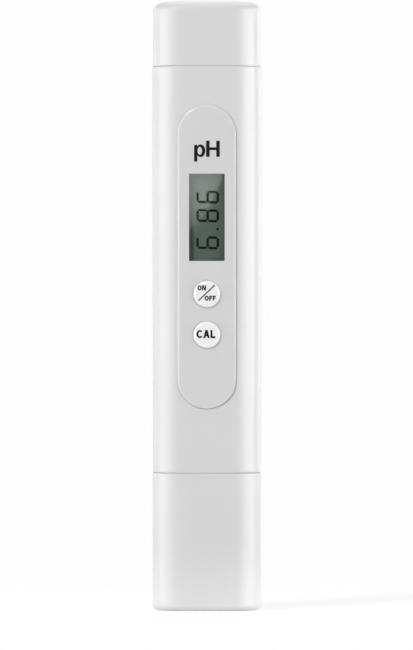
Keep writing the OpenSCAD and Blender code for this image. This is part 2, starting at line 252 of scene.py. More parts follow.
def plastic(name, c, rough=0.34, ior=1.5, coat=0.0, coat_rough=0.12, vary=0.02, grain=2600, depth=4e-6, strength=0.25):
    """Moulded plastic: a faint flow mottling, a slightly uneven gloss and a fine moulded grain."""
    m, nt, p, _ = material(name)
    v = coords(nt)
    flow = noise(nt, coords(nt, (1, 1, 0.35)), 70, 4, 0.6, 0.6)
    nt.links.new(ramp(nt, flow, [(0.3, tint(c, 1 - vary)), (0.7, tint(c, 1 + vary * 0.5))]), p.inputs["Base Color"])
    nt.links.new(span(nt, noise(nt, v, 420, 3), rough - 0.035, rough + 0.035), p.inputs["Roughness"])
    bump(nt, p, noise(nt, v, grain, 4, 0.6), strength, depth)
    p.inputs["IOR"].default_value = ior
    if coat:
        p.inputs["Coat Weight"].default_value = coat
        p.inputs["Coat Roughness"].default_value = coat_rough
        p.inputs["Coat IOR"].default_value = 1.5
    return m


def metal(name, c, rough=0.3, stretch=(1, 1, 40), scale=900, vary=0.06, depth=3e-6):
    """Drawn or plated metal: fine streaks along the stretch, faint cloudy tarnish."""
    m, nt, p, _ = material(name)
    streak = noise(nt, coords(nt, tuple(1.0 / s for s in stretch)), scale * 1.0, 3, 0.6)
    cloud = noise(nt, coords(nt), 140, 4, 0.6)
    nt.links.new(ramp(nt, cloud, [(0.3, tint(c, 1 - vary)), (0.72, c)]), p.inputs["Base Color"])
    nt.links.new(span(nt, streak, rough - 0.08, rough + 0.1), p.inputs["Roughness"])
    bump(nt, p, streak, 0.35, depth)
    p.inputs["Metallic"].default_value = 1.0
    return m


def rubber(name, c=(0.022, 0.022, 0.023), rough=0.62):
    m, nt, p, _ = material(name)
    v = coords(nt)
    nt.links.new(ramp(nt, noise(nt, v, 260, 4), [(0.3, tint(c, 0.75)), (0.7, tint(c, 1.35))]), p.inputs["Base Color"])
    nt.links.new(span(nt, noise(nt, v, 700, 3), rough - 0.08, rough + 0.1), p.inputs["Roughness"])
    bump(nt, p, noise(nt, v, 5200, 3), 0.4, 8e-6)
    return m


def clear(name, c=(1, 1, 1), rough=0.01, ior=1.49, wave=60):
    """Clear plastic or glass that lets the lamps through to what is behind it."""
    m, nt, p, out = material(name)
    v = coords(nt)
    nt.links.new(ramp(nt, noise(nt, v, 90, 2), [(0.3, tint(c, 0.985)), (0.7, c)]), p.inputs["Base Color"])
    nt.links.new(span(nt, noise(nt, v, 500, 3), rough, rough + 0.02), p.inputs["Roughness"])
    bump(nt, p, noise(nt, v, wave, 1), 0.05, 1e-5)
    p.inputs["Transmission Weight"].default_value = 1.0
    p.inputs["IOR"].default_value = ior
    lp = nt.nodes.new("ShaderNodeLightPath")
    tr = nt.nodes.new("ShaderNodeBsdfTransparent")
    mx = nt.nodes.new("ShaderNodeMixShader")
    nt.links.new(lp.outputs["Is Shadow Ray"], mx.inputs[0])
    nt.links.new(p.outputs[0], mx.inputs[1])
    nt.links.new(tr.outputs[0], mx.inputs[2])
    nt.links.new(mx.outputs[0], out.inputs[0])
    return m


M = {}
WHITE = (0.67, 0.67, 0.67)
M["shell"] = plastic("white_shell", WHITE, rough=0.36, coat=0.55, coat_rough=0.3)
M["panel"] = plastic("white_panel", (0.66, 0.66, 0.66), rough=0.36, coat=0.7, coat_rough=0.27, grain=3400)
M["button"] = plastic("white_button", (0.865, 0.865, 0.865), rough=0.3, coat=0.5, coat_rough=0.2)
M["inner"] = plastic("white_inner", (0.74, 0.74, 0.72), rough=0.5, grain=1800, depth=1e-5)
M["ink"] = plastic("black_ink", (0.0035, 0.0035, 0.0038), rough=0.6, ior=1.3, vary=0.15, grain=6000)
M["electrode"] = plastic("black_electrode", (0.022, 0.024, 0.030), rough=0.38, vary=0.15)
M["dark"] = plastic("dark_plastic", (0.03, 0.03, 0.032), rough=0.48, vary=0.15, grain=3000, depth=1e-5)
M["rubber"] = rubber("black_rubber")
M["potting"] = plastic("potting", (0.62, 0.60, 0.54), rough=0.28, vary=0.06)
M["ceramic"] = plastic("porous_ceramic", (0.86, 0.85, 0.80), rough=0.75, vary=0.08, grain=9000, depth=2e-5, strength=0.6)
M["nickel"] = metal("nickel_plate", (0.68, 0.65, 0.58), 0.24)
M["cell"] = metal("cell_steel", (0.66, 0.66, 0.65), 0.26, stretch=(1, 1, 1), scale=1600)
M["steel"] = metal("probe_steel", (0.64, 0.645, 0.65), 0.25, stretch=(1, 1, 30))
M["screw"] = metal("screw_steel", (0.55, 0.55, 0.56), 0.32, stretch=(1, 20, 1))
M["silver"] = metal("silver_wire", (0.72, 0.71, 0.68), 0.34, vary=0.25)
M["can"] = metal("crystal_can", (0.70, 0.70, 0.69), 0.2)


def cell_material(name, cx, cz=158.95):
    """Pressed nickel-plated steel: fine rings left by the press, faint fingermarks."""
    m, nt, p, _ = material(name)
    x, y, z = axes(nt)
    dx = math_node(nt, "SUBTRACT", x, cx * MM)
    dz = math_node(nt, "SUBTRACT", z, cz * MM)
    r = math_node(nt, "SQRT", math_node(nt, "ADD", math_node(nt, "MULTIPLY", dx, dx), math_node(nt, "MULTIPLY", dz, dz)))
    cv = nt.nodes.new("ShaderNodeCombineXYZ")
    nt.links.new(r, cv.inputs[0])
    rings = noise(nt, cv.outputs[0], 2600, 3, 0.6)
    marks = noise(nt, coords(nt), 260, 4, 0.6, 0.4)
    nt.links.new(ramp(nt, marks, [(0.3, (0.60, 0.60, 0.59)), (0.7, (0.72, 0.72, 0.71))]), p.inputs["Base Color"])
    nt.links.new(math_node(nt, "ADD", span(nt, rings, -0.05, 0.06), span(nt, marks, 0.26, 0.36)), p.inputs["Roughness"])
    bump(nt, p, rings, 0.35, 2e-6)
    p.inputs["Metallic"].default_value = 1.0
    return m


M["cell_left"] = cell_material("cell_steel_left", -6.1)
M["cell_right"] = cell_material("cell_steel_right", 6.1)
M["gasket"] = plastic("cell_gasket", (0.05, 0.055, 0.06), rough=0.5, vary=0.2, grain=5000)
M["window"] = clear("clear_window", (0.985, 1.0, 0.99), 0.008, 1.2)
M["glass"] = clear("bulb_glass", (0.95, 0.99, 0.98), 0.004, 1.5)
M["lcd_glass"] = clear("lcd_glass", (0.93, 0.97, 0.94), 0.006, 1.52)


def lcd_material():
    """Reflective twisted-nematic display: grey-green, with faint unevenness and a slight sparkle."""
    m, nt, p, _ = material("lcd_background")
    v = coords(nt)
    big = noise(nt, coords(nt, (1, 1, 0.6)), 120, 3, 0.5)
    c = ramp(nt, big, [(0.3, (0.044, 0.067, 0.049)), (0.7, (0.053, 0.078, 0.057))])
    fine = noise(nt, v, 9000, 2)
    nt.links.new(mix_colour(nt, span(nt, fine, 0.0, 0.10), c, (0.14, 0.17, 0.14)), p.inputs["Base Color"])
    nt.links.new(span(nt, fine, 0.42, 0.6), p.inputs["Roughness"])
    bump(nt, p, fine, 0.1, 2e-6)
    p.inputs["Coat Weight"].default_value = 1.0
    p.inputs["Coat Roughness"].default_value = 0.015
    p.inputs["Coat IOR"].default_value = 1.9
    return m


M["lcd"] = lcd_material()
M["segment"] = plastic("lcd_segment", (0.003, 0.006, 0.004), rough=0.6, ior=1.2, vary=0.2, grain=8000)


def sponge_material():
    m, nt, p, _ = material("storage_sponge")
    v = coords(nt)
    cells = voronoi(nt, v, 1900)
    # painted shade and light: the pits of the pores are painted dark brown and the ridges between them lighter,
    # following the same cells that the bump sinks
    nt.links.new(ramp(nt, cells, [(0.05, (0.30, 0.20, 0.05)), (0.35, (0.74, 0.58, 0.22)), (0.8, (0.86, 0.73, 0.36))]), p.inputs["Base Color"])
    p.inputs["Roughness"].default_value = 0.9
    p.inputs["Sheen Weight"].default_value = 0.15
    bump(nt, p, cells, 0.8, 2e-4)
    return m


M["sponge"] = sponge_material()


def board_material():
    """Green solder mask over copper tracks, both drawn by crossing bands."""
    m, nt, p, _ = material("main_board")
    x, y, z = axes(nt)
    v = coords(nt)
    w = nt.nodes.new("ShaderNodeTexBrick")
    w.inputs["Scale"].default_value = 320
    w.inputs["Mortar Size"].default_value = 0.06
    w.inputs["Color1"].default_value = (0, 0, 0, 1)
    w.inputs["Color2"].default_value = (0, 0, 0, 1)
    w.inputs["Mortar"].default_value = (1, 1, 1, 1)
    mp = nt.nodes.new("ShaderNodeMapping")
    mp.inputs["Rotation"].default_value = (math.radians(90), 0, 0)
    tc = nt.nodes.new("ShaderNodeTexCoord")
    nt.links.new(tc.outputs["Object"], mp.inputs["Vector"])
    nt.links.new(mp.outputs["Vector"], w.inputs["Vector"])
    track = w.outputs["Color"]
    mask = mix_colour(nt, noise(nt, v, 60, 2), (0.006, 0.10, 0.035), (0.010, 0.13, 0.045))
    nt.links.new(mix_colour(nt, track, mask, (0.02, 0.20, 0.07)), p.inputs["Base Color"])
    nt.links.new(span(nt, noise(nt, v, 800, 3), 0.22, 0.34), p.inputs["Roughness"])
    bump(nt, p, track, 0.4, 2e-5)
    return m


M["board"] = board_material()


def chip_material(name, body, pins, test):
    """A chip part whose ends or pins are tinned; test builds the 0..1 mask from object coordinates."""
    m, nt, p, _ = material(name)
    mask = test(nt)
    v = coords(nt)
    c = ramp(nt, noise(nt, v, 1500, 3), [(0.3, tint(body, 0.85)), (0.7, tint(body, 1.15))])
    nt.links.new(mix_colour(nt, mask, c, pins), p.inputs["Base Color"])
    nt.links.new(mask, p.inputs["Metallic"])
    nt.links.new(span(nt, noise(nt, v, 2400, 3), 0.3, 0.5), p.inputs["Roughness"])
    bump(nt, p, noise(nt, v, 5000, 2), 0.3, 4e-6)
    return m


TIN = (0.62, 0.60, 0.55)


def beyond(nt, sock, centre, half):
    d = math_node(nt, "ABSOLUTE", math_node(nt, "SUBTRACT", sock, centre * MM))
    return math_node(nt, "GREATER_THAN", d, half * MM)


def controller_pins(nt):
    x, y, z = axes(nt)
    return math_node(nt, "MAXIMUM", beyond(nt, x, 0, 5.01), beyond(nt, z, Z_WINDOW, 5.01))


def amplifier_pins(nt):
    x, y, z = axes(nt)
    return beyond(nt, x, 2, 2.01)


def low_parts(nt):
    x, y, z = axes(nt)
    return math_node(nt, "GREATER_THAN", y, (-2.4 + 0.565) * MM)


M["controller"] = chip_material("controller_chip", (0.02, 0.02, 0.021), TIN, controller_pins)
M["amplifier"] = chip_material("amplifier_chip", (0.02, 0.02, 0.021), TIN, amplifier_pins)
M["resistor"] = chip_material("chip_resistor", (0.03, 0.03, 0.035), TIN, low_parts)
M["capacitor"] = plastic("chip_capacitor", (0.42, 0.27, 0.13), rough=0.42, vary=0.12)
M["zebra"] = plastic("contact_strip", (0.05, 0.05, 0.05), rough=0.6, vary=0.3, grain=1200)
M["holder"] = plastic("lcd_holder", (0.76, 0.76, 0.74), rough=0.5)
M["lead_white"] = plastic("lead_white", (0.78, 0.78, 0.76), rough=0.45, vary=0.05)
M["lead_blue"] = plastic("lead_blue", (0.02, 0.07, 0.36), rough=0.45, vary=0.08)
M["lead_red"] = plastic("lead_red", (0.52, 0.02, 0.02), rough=0.45, vary=0.08)
M["bead"] = plastic("thermistor_bead", (0.03, 0.03, 0.03), rough=0.3, vary=0.2)

NODE_MATERIAL = {
    "main_housing": "shell", "battery_cap": "shell", "protective_cap": "shell", "face_panel": "panel",
    "display_window": "window", "power_button": "button", "cal_button": "button",
    "battery_cap_seal": "rubber", "collar_seal": "rubber", "electrode_o_ring": "rubber",
    "battery_holder": "inner", "probe_collar": "inner", "pcb_carrier": "inner",
    "left_cell": "cell", "right_cell": "cell",
    "negative_contact": "nickel", "positive_contact": "nickel", "series_link": "nickel",
    "cap_sponge": "sponge", "electrode_body": "electrode", "glass_electrode": "glass",
    "silver_wire": "silver", "reference_wire": "silver", "junction_plug": "potting",
    "ceramic_junction": "ceramic", "electrode_top_plug": "dark", "temperature_probe": "steel",
    "thermistor_bead": "bead", "main_board": "board", "pcb_screws": "screw",
    "lcd_holder": "holder", "lcd_front_glass": "lcd_glass", "lcd_rear_glass": "lcd_glass",
    "lcd_front_polariser": "lcd", "lcd_reflector": "lcd", "lcd_contact_strip": "zebra",
    "power_switch": "dark", "cal_switch": "dark", "power_plunger": "dark", "cal_plunger": "dark",
    "controller_chip": "controller", "amplifier_chip": "amplifier", "crystal": "can",
    "chip_resistors": "resistor", "chip_capacitors": "capacitor",
    "signal_lead": "lead_white", "reference_lead": "lead_blue", "thermistor_leads": "lead_red",
}
for n, o in nodes.items():
    for s in o.material_slots:
        s.material = M[NODE_MATERIAL[n]]


# ==== sections of the shells ==================================================
def crowned_quarter():
    """A quarter of the outside, from the front centre to the side: a faint crown, a corner, a faint crown."""
    ds = 0.01
    k = np.concatenate([np.full(int(L / ds), math.radians(T) / L) for L, T in ((6.9, 6.0), (10.5, 80.4), (1.9, 3.6))])
    w = int(1.8 / ds)
    pad = np.concatenate([k[::-1], k, k[::-1]])
    k = np.convolve(pad, np.ones(w) / w, "same")[len(k):2 * len(k)]
    k *= (math.pi / 2) / (k.sum() * ds)
    th = np.cumsum(k) * ds - k * ds / 2
    x = np.concatenate([[0], np.cumsum(np.cos(th)) * ds])
    y = np.concatenate([[0], np.cumsum(np.sin(th)) * ds])
    x *= HALF_W / x[-1]
    y = -HALF_T + y * HALF_T / y[-1]
    return x, y


QX, QY = crowned_quarter()
_n = len(QX) - 1
SX = np.concatenate([QX, QX[-2::-1], -QX[1:], -QX[-2:0:-1]])
SY = np.concatenate([QY, -QY[-2::-1], -QY[1:], QY[-2:0:-1]])
SX = np.append(SX, SX[0])
SY = np.append(SY, SY[0])
SS = np.concatenate([[0], np.cumsum(np.hypot(np.diff(SX), np.diff(SY)))])
S_TOTAL = SS[-1]


def outer_xy(s):
    s = np.asarray(s) % S_TOTAL
    x, y = np.interp(s, SS, SX), np.interp(s, SS, SY)
    e = 0.05
    dx = np.interp((s + e) % S_TOTAL, SS, SX) - np.interp((s - e) % S_TOTAL, SS, SX)
    dy = np.interp((s + e) % S_TOTAL, SS, SY) - np.interp((s - e) % S_TOTAL, SS, SY)
    L = np.hypot(dx, dy)
    return x, y, dy / L, -dx / L


def s_of_x(x):
    """Arc length on the front where the section is at x, negative to the left."""
    s = np.interp(abs(x), QX, SS[:_n + 1])
    return s if x >= 0 else -s


def y_outer(x):
    return float(np.interp(abs(x), QX, QY))


def round_rect(d, n_flat=1):
    """The CAD section inset by d, as a function of arc length from the front centre."""
    w, t, r = HALF_W - d, HALF_T - d, 7.5 - d
    fx, sy = w - r, t - r
    pts = [(0, -t), (fx, -t)]
    pts += [(fx + r * math.sin(a), -sy - r * math.cos(a)) for a in np.linspace(0, math.pi / 2, 60)[1:]]
    pts += [(w, 0)]
    q = np.array(pts)
    full = np.concatenate([q, q[-2::-1] * [1, -1], q[1:] * [-1, -1], q[-2::-1] * [-1, 1]])
    s = np.concatenate([[0], np.cumsum(np.hypot(*np.diff(full, axis=0).T))])
    return full, s


def y_inner(x, d):
    w, t, r = HALF_W - d, HALF_T - d, 7.5 - d
    fx = w - r
    return -t if abs(x) <= fx else -(t - r) - math.sqrt(max(r * r - (abs(x) - fx) ** 2, 0))


# columns: NX intervals across the front field, NR round the rest
NX, NR = 28, 112
X_FIELD = 10.6
front_x = [X_FIELD * (2 * i / NX - 1) for i in range(NX + 1)]
s_edge = s_of_x(X_FIELD)
rest_s = [s_edge + (S_TOTAL - 2 * s_edge) * i / NR for i in range(1, NR)]
COL_S = np.array([s_of_x(x) for x in front_x] + rest_s)
CX, CY, CNX, CNY = outer_xy(COL_S)


def outer_ring(z, d=0.0, w=1.0):
    return [((CX[i] - CNX[i] * d) * w, CY[i] - CNY[i] * d, z) for i in range(len(CX))]


def inner_ring(z, d, x_field=X_FIELD):
    full, s = round_rect(d)
    total = s[-1]
    xs = [x_field * (2 * i / NX - 1) for i in range(NX + 1)]
    pts = [(x, y_inner(x, d), z) for x in xs]
    q = (len(full) + 3) // 4
    se = np.interp(x_field, full[:q, 0], s[:q])
    for i in range(1, NR):
        t = se + (total - 2 * se) * i / NR
        pts.append((float(np.interp(t, s, full[:, 0])), float(np.interp(t, s, full[:, 1])), z))
    return pts


def scaled(ring, k, z):
    return [(x * k, y * k, z) for x, y, _ in ring]


# ---- battery cap --------------------------------------------------------------
def battery_cap():
    b = Build()
    z0, z1 = Z_H1 + 0.05, Z_TOP
    e, a, h = 0.12, 4.1, 2.3
    rows = []
    w = lambda z: 1 - 0.0016 * ease((z - 158) / 10)
    rows.append(inner_ring(z0, 1.6))
    rows.append([(x * 0.998, y * 0.998, z) for x, y, z in outer_ring(z0, 0.2 + e + 0.1)])
    for i in range(6):
        t = math.radians(90 * i / 5)
        rows.append(outer_ring(z0 + e * (1 - math.cos(t)), 0.2 + e * (1 - math.sin(t))))
    for z in np.linspace(z0 + 0.8, z1 - h - 0.3, 12):
        rows.append(outer_ring(z, 0.2, w(z)))
    for i in range(13):
        t = math.radians(90 * i / 12)
        rows.append(outer_ring(z1 - 0.12 - h + h * math.sin(t), 0.2 + a * (1 - math.cos(t)), w(z1)))
    top = rows[-1]
    for k in (0.97, 0.85, 0.7, 0.5, 0.25):
        rows.append(scaled(top, k, z1 - 0.12 * k * k))
    b.grid(rows, closed=True)
    b.fan(rows[-1], (0, 0, z1))
    inside = [inner_ring(z0, 1.6), inner_ring(z0 + 5, 1.6), inner_ring(z1 - 4.4, 1.6)]
    for i in range(1, 6):
        t = math.radians(90 * i / 5)
        inside.append(inner_ring(z1 - 4.4 + 2.4 * math.sin(t), 1.6 + 2.4 * (1 - math.cos(t))))
    inside.append(scaled(inside[-1], 0.6, z1 - 2.0))
    inside.append(scaled(inside[-1], 0.4, z1 - 2.0))
    b.grid(inside, closed=True)
    b.fan(inside[-1], (0, 0, z1 - 2.0))
    return b.object("battery_cap_shell", M["shell"], sharp=50)


def protective_cap():
    b = Build()
    z1 = Z_H0 - 0.05
    e, f = 0.32, 1.6
    w = 0.9975
    rows = [inner_ring(z1, 1.6), outer_ring(z1, e + 0.1, w)]
    for i in range(6):
        t = math.radians(90 * i / 5)
        rows.append(outer_ring(z1 - e * (1 - math.cos(t)), e * (1 - math.sin(t)), w))
    for z in np.linspace(z1 - 0.8, f + 0.3, 24):
        rows.append(outer_ring(z, 0, w))
    for i in range(9):
        t = math.radians(90 * i / 8)
        rows.append(outer_ring(f - f * math.sin(t), f * (1 - math.cos(t)), w))
    foot = rows[-1]
    rows.append(scaled(foot, 0.97, 0.0))
    # a shallow moulded recess in the foot leaves a flat rim to stand on
    for k, z in ((0.80, 0.0), (0.785, 0.02), (0.77, 0.28), (0.755, 0.3), (0.5, 0.3), (0.25, 0.3)):
        rows.append(scaled(foot, k, z))
    b.grid(rows, closed=True)
    b.fan(rows[-1], (0, 0, 0.3))
    inside = [inner_ring(z1, 1.6), inner_ring(z1 - 8, 1.6), inner_ring(8, 1.6), inner_ring(2.9, 1.6)]
    for i in range(1, 5):
        t = math.radians(90 * i / 4)
        inside.append(inner_ring(2.9 - 0.9 * math.sin(t), 1.6 + 0.9 * (1 - math.cos(t))))
    inside.append(scaled(inside[-1], 0.6, 2.0))
    inside.append(scaled(inside[-1], 0.4, 2.0))
    b.grid(inside, closed=True)
    b.fan(inside[-1], (0, 0, 2.0))
    return b.object("protective_cap_shell", M["shell"], sharp=50)


# ---- main housing --------------------------------------------------------------
def width_at(z):
    """The moulding is a little wider at the display than at the foot."""
    return (29.72 + (30.06 - 29.72) * ease((z - 42) / 75)) / 30.0


def field_loops(x_field, z_lo, z_hi, rows_z):
    """Points round the front field's rectangle, with the parameter that places each on a pill."""
    pts = []
    xs = [x_field * (2 * i / NX - 1) for i in range(NX + 1)]
    for x in xs[:-1]:
        pts.append((x, z_lo))
    for z in rows_z[:-1]:
        pts.append((x_field, z))
    for x in xs[::-1][:-1]:
        pts.append((x, z_hi))
    for z in rows_z[::-1][:-1]:
        pts.append((-x_field, z))
    return pts


ZC0, ZC1 = Z_PANEL - 33.8, Z_PANEL + 33.8


def on_pill(p, r):
    x, z = p
    if z > ZC1 + 1e-9:
        a = math.atan2(z - ZC1, x)
        return r * math.cos(a), ZC1 + r * math.sin(a)
    if z < ZC0 - 1e-9:
        a = math.atan2(z - ZC0, x)
        return r * math.cos(a), ZC0 + r * math.sin(a)
    return math.copysign(r, x), z


FIELD_LO, FIELD_HI = ZC0 - 10.6, ZC1 + 10.6
FIELD_Z = sorted(set([round(FIELD_LO + 10.6 * (1 - math.tan(math.radians(45 * i / 9))), 6) for i in range(10)]
                     + [round(ZC0 + 67.6 * i / 30, 6) for i in range(31)]
                     + [round(FIELD_HI - 10.6 * (1 - math.tan(math.radians(45 * i / 9))), 6) for i in range(10)]))


def surface_y(x, z):
    return y_outer(x / width_at(z))


def main_housing():
    b = Build()
    e0, e, z0, z1 = 0.12, 0.32, Z_H0, Z_H1
    lo = [z for z in np.linspace(z0 + 0.8, FIELD_LO, 8)]
    hi = [z for z in np.linspace(FIELD_HI, z1 - 0.8, 6)]
    # full rings under the field
    rows = [inner_ring(z0, 1.6), outer_ring(z0, e0 + 0.1, width_at(z0))]
    for i in range(6):
        t = math.radians(90 * i / 5)
        rows.append(outer_ring(z0 + e0 * (1 - math.cos(t)), e0 * (1 - math.sin(t)), width_at(z0)))
    rows += [outer_ring(z, 0, width_at(z)) for z in lo]
    b.grid(rows, closed=True)
    # full rings over the field
    rows = [outer_ring(z, 0, width_at(z)) for z in hi]
    for i in range(5, -1, -1):
        t = math.radians(90 * i / 5)
        rows.append(outer_ring(z1 - e * (1 - math.cos(t)), e * (1 - math.sin(t)), width_at(z1)))
    rows += [outer_ring(z1, e + 0.1, width_at(z1)), inner_ring(z1, 1.6)]
    b.grid(rows, closed=True)
    # round the sides and back beside the field
    idx = list(range(NX, NX + NR)) + [0]
    b.grid([[outer_ring(z, 0, width_at(z))[i] for i in idx] for z in FIELD_Z])
    # the field: rings from the rectangle in to the recess that holds the panel
    lp = []
    for i in range(NX):
        lp.append((front_x[i], FIELD_LO))
    for z in FIELD_Z[:-1]:
        lp.append((X_FIELD, z))
    for i in range(NX, 0, -1):
        lp.append((front_x[i], FIELD_HI))
    for z in FIELD_Z[::-1][:-1]:
        lp.append((-X_FIELD, z))
    R, c = 8.11, 0.04
    rings = []
    edge = [(x * width_at(z), z) for x, z in lp]
    for t, extra in ((0, 0.0), (0.25, 0.0), (0.5, 0.0), (0.75, 0.0), (0.9, 0.0), (1.0, 0.07), (1.0, 0.015), (1.0, 0.0)):
        ring = []
        for (x, z), (ex, ez) in zip(lp, edge):
            px, pz = on_pill((x, z), R + c + extra)
            qx, qz = ex + (px - ex) * t, ez + (pz - ez) * t
            ring.append((qx, surface_y(qx, qz), qz))
        rings.append(ring)
    for i in range(1, 6):
        a = math.radians(90 * i / 5)
        ring = []
        for p in lp:
            px, pz = on_pill(p, R + c * (1 - math.sin(a)))
            ox, oz = on_pill(p, R + c)
            ring.append((px, surface_y(ox, oz) + c * (1 - math.cos(a)), pz))
        rings.append(ring)
    for r, y in ((R, -8.2), (R, Y_BACK), (8.0, Y_BACK), (6.6, Y_BACK), (6.6, -6.95), (6.6, -6.3), (8.4, -6.3), (10.1, -6.3)):
        rings.append([(on_pill(p, r)[0], y, on_pill(p, r)[1]) for p in lp])
    # the ledge's outer wall, back to the inside of the shell, and the inside field
    XI = 11.2
    li = [(x * XI / X_FIELD, z) for x, z in lp]
    rings.append([(on_pill(p, 10.1)[0], y_inner(on_pill(p, 10.1)[0], 1.6), on_pill(p, 10.1)[1]) for p in lp])
    for t in (0.35, 0.7, 1.0):
        ring = []
        for p, q in zip(lp, li):
            px, pz = on_pill(p, 10.1)
            zz = q[1]
            qx, qz = px + (q[0] - px) * t, pz + (zz - pz) * t
            ring.append((qx, y_inner(qx, 1.6), qz))
        rings.append(ring)
    b.grid(rings, closed=True)
    # the rest of the inside
    b.grid([[inner_ring(z, 1.6, XI)[i] for i in idx] for z in FIELD_Z])
    b.grid([inner_ring(z0, 1.6), inner_ring(z0 + 1.5, 1.6)] + [inner_ring(z, 1.6, XI) for z in np.linspace(z0 + 4, FIELD_LO, 4)], closed=True)
    b.grid([inner_ring(z, 1.6, XI) for z in np.linspace(FIELD_HI, z1 - 4, 3)] + [inner_ring(z1 - 1.5, 1.6), inner_ring(z1, 1.6)], closed=True)
    return b.object("main_housing_shell", M["shell"], sharp=50)


# ---- face panel -----------------------------------------------------------------
def pill_loop(r, n_arc=44, n_side=30):
    pts = [(r, ZC0 + (ZC1 - ZC0) * i / n_side) for i in range(n_side)]
    pts += [(r * math.cos(math.pi * i / n_arc), ZC1 + r * math.sin(math.pi * i / n_arc)) for i in range(n_arc)]
    pts += [(-r, ZC1 - (ZC1 - ZC0) * i / n_side) for i in range(n_side)]
    pts += [(-r * math.cos(math.pi * i / n_arc), ZC0 - r * math.sin(math.pi * i / n_arc)) for i in range(n_arc)]
    return pts


def rect_loop(hw, hh, r, zc, n=5):
    pts = []
    for cx, cz, a0 in ((hw - r, hh - r, 0), (-hw + r, hh - r, 90), (-hw + r, -hh + r, 180), (hw - r, -hh + r, 270)):
        for i in range(n + 1):
            a = math.radians(a0 + 90 * i / n)
            pts.append((cx + r * math.cos(a), zc + cz + r * math.sin(a)))
    return pts


def circle_loop(r, zc, n=64):
    return [(r * math.cos(2 * math.pi * i / n), zc + r * math.sin(2 * math.pi * i / n)) for i in range(n)]


def at(loop, y):
    return [(x, y, z) for x, z in loop]


def face_panel():
    b = Build()
    R, e, ey, n = 8.055, 0.42, 0.30, 8
    # the plate sits hard against the upper left of its recess
    edge = lambda r, k=0.0: [(x - 0.038 + 0.14 * k, z + 0.038 - 0.14 * k) for x, z in pill_loop(r)]
    rows = [at(edge(R), Y_BACK), at(edge(R), -8.4)]
    for i in range(n + 1):
        t = math.radians(90 * i / n)
        k, d = 0.5 * (1 - math.cos(t) + i / n), 0.5 * (2 - math.sin(t) - i / n)
        rows.append(at(edge(R - e * k, k), Y_FACE + ey * d))
    rows.append(at(edge(R - e - 0.14, 1), Y_FACE))
    b.grid(rows, closed=True)
    front, back = [edge(R - e - 0.14, 1)], [edge(R)]
    # window: a fine edge, a thin lip, and the step that the clear window sits in
    w = [(5.06, 12.16, 0.4, Y_FACE), (4.95, 12.05, 0.30, Y_FACE), (4.915, 12.015, 0.27, Y_FACE + 0.02), (4.9, 12.0, 0.25, Y_FACE + 0.06), (4.9, 12.0, 0.25, -9.3),
         (5.8, 12.9, 0.3, -9.3), (5.8, 12.9, 0.3, -8.1), (6.4, 15.2, 0.3, -8.1), (6.4, 15.2, 0.3, Y_BACK)]
    b.grid([at(rect_loop(hw, hh, r, Z_WINDOW), y) for hw, hh, r, y in w], closed=True)
    front.append(rect_loop(*w[0][:3], Z_WINDOW))
    back.append(rect_loop(*w[-1][:3], Z_WINDOW))
    for zc in (Z_POWER, Z_CAL):
        c = [(4.02, Y_FACE), (3.92, Y_FACE), (3.86, Y_FACE + 0.02), (3.82, Y_FACE + 0.06), (3.80, Y_FACE + 0.12), (3.80, -8.4), (3.80, Y_BACK)]
        b.grid([at(circle_loop(r, zc), y) for r, y in c], closed=True)
        front.append(circle_loop(4.02, zc))
        back.append(circle_loop(3.80, zc))
    b.fill([at(lp, Y_FACE) for lp in front])
    b.fill([at(lp, Y_BACK) for lp in back])
    return b.object("face_panel_plate", M["panel"], sharp=50)


o = face_panel()
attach(o, "pen")
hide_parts("face_panel")

for maker, node, body in ((battery_cap, "battery_cap", "battery_cap"), (protective_cap, "protective_cap", "protective_cap"),
                          (main_housing, "main_housing", "pen")):
    o = maker()
    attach(o, body)
    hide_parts(node)


